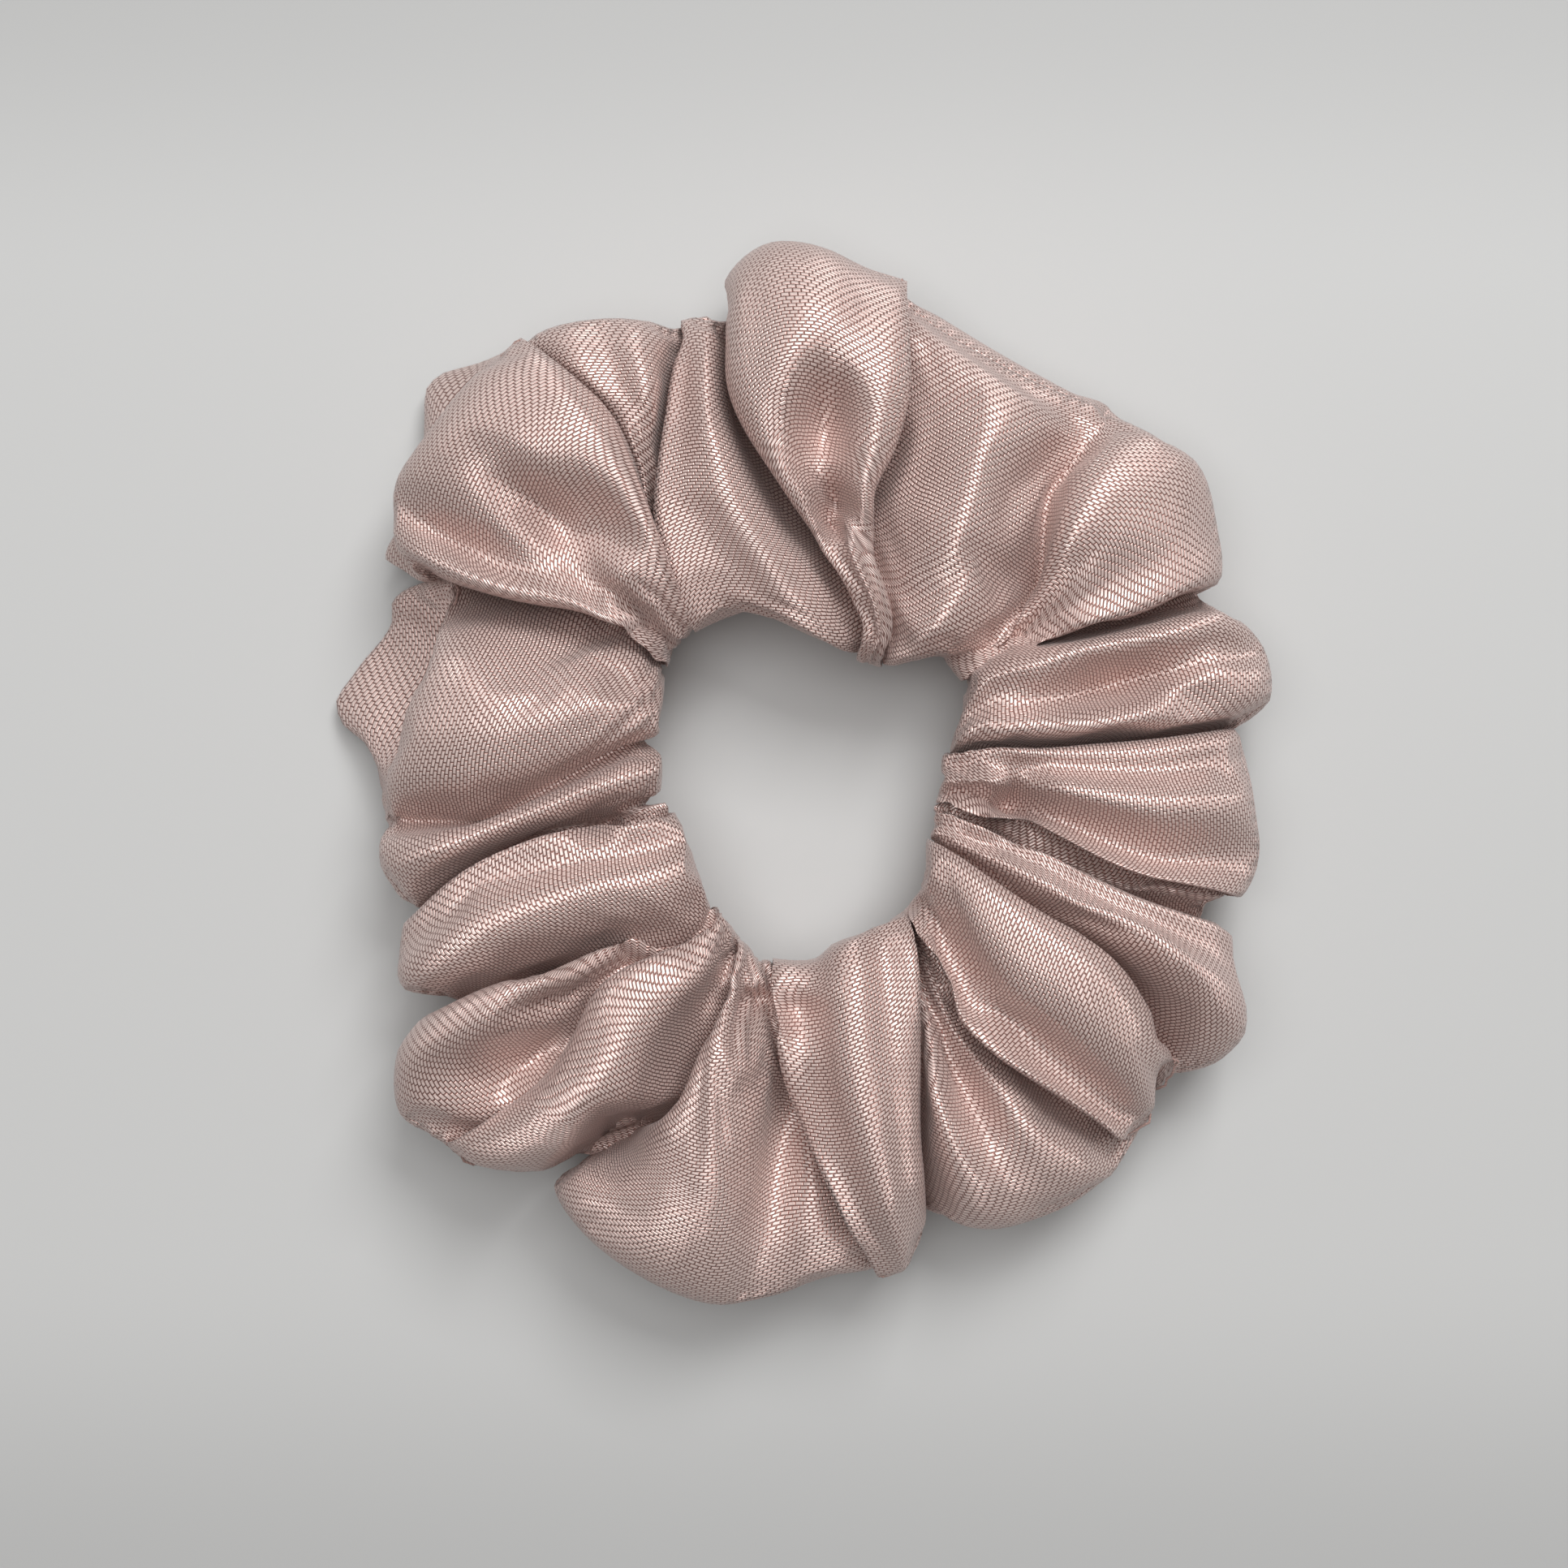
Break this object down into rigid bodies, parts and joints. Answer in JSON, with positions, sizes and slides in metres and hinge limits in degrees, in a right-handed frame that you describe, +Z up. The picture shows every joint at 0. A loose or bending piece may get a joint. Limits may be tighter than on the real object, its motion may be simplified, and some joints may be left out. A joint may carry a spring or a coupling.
{
  "type": "scrunchie",
  "caption": "Satin-covered elastic hair ring, gathered into soft puffs, that stretches open evenly all round and springs back.",
  "frame": {"origin": "on the surface it lies on, under the middle of its outline", "axes": "+Z up through the hair hole, +Y towards the tall back gather, +X to the right seen from above"},
  "size_m": [0.1062, 0.118, 0.0269],
  "materials": {
    "sleeve_satin": "satin weave, soft sheen",
    "elastic": "braided, matte",
    "sleeve_thread": "twisted thread",
    "elastic_thread": "twisted thread"
  },
  "bodies": {
    "front": {"sleeve_front": "sleeve_satin", "elastic_band": "elastic", "long_seam_thread": "sleeve_thread"},
    "front_right": {"sleeve_front_right": "sleeve_satin"},
    "right": {"sleeve_right": "sleeve_satin"},
    "back_right": {"sleeve_back_right": "sleeve_satin"},
    "back_a": {"sleeve_back_a": "sleeve_satin"},
    "back_b": {"sleeve_back_b": "sleeve_satin"},
    "back_left": {"sleeve_back_left": "sleeve_satin"},
    "left": {"sleeve_left": "sleeve_satin", "elastic_bar_tack": "elastic_thread", "closing_seam_thread": "sleeve_thread"},
    "front_left": {"sleeve_front_left": "sleeve_satin"}
  },
  "joints": [
    {"name": "stretch", "type": "slide", "parent": "front", "child": "front_right", "axis": [0.9239, 0.3827, 0], "range_m": [0, 0.019], "stiffness_N_per_m": 60, "deforming": ["elastic_band", "long_seam_thread"]},
    {"name": "stretch_right", "type": "slide", "parent": "front_right", "child": "right", "axis": [0.3827, 0.9239, 0], "range_m": [0, 0.019], "stiffness_N_per_m": 60},
    {"name": "stretch_back_right", "type": "slide", "parent": "right", "child": "back_right", "axis": [-0.3827, 0.9239, 0], "range_m": [0, 0.019], "stiffness_N_per_m": 60},
    {"name": "stretch_back_a", "type": "slide", "parent": "back_right", "child": "back_a", "axis": [-0.9239, 0.3827, 0], "range_m": [0, 0.019], "stiffness_N_per_m": 60},
    {"name": "stretch_front_left", "type": "slide", "parent": "front", "child": "front_left", "axis": [-0.9239, 0.3827, 0], "range_m": [0, 0.019], "stiffness_N_per_m": 60},
    {"name": "stretch_left", "type": "slide", "parent": "front_left", "child": "left", "axis": [-0.3827, 0.9239, 0], "range_m": [0, 0.019], "stiffness_N_per_m": 60},
    {"name": "stretch_back_left", "type": "slide", "parent": "left", "child": "back_left", "axis": [0.3827, 0.9239, 0], "range_m": [0, 0.019], "stiffness_N_per_m": 60},
    {"name": "stretch_back_b", "type": "slide", "parent": "back_left", "child": "back_b", "axis": [0.9239, 0.3827, 0], "range_m": [0, 0.019], "stiffness_N_per_m": 60}
  ],
  "couplings": [
    {"joint": "stretch_right", "follows": "stretch", "ratio": 1},
    {"joint": "stretch_back_right", "follows": "stretch", "ratio": 1},
    {"joint": "stretch_back_a", "follows": "stretch", "ratio": 1},
    {"joint": "stretch_front_left", "follows": "stretch", "ratio": 1},
    {"joint": "stretch_left", "follows": "stretch", "ratio": 1},
    {"joint": "stretch_back_left", "follows": "stretch", "ratio": 1},
    {"joint": "stretch_back_b", "follows": "stretch", "ratio": 1}
  ]
}
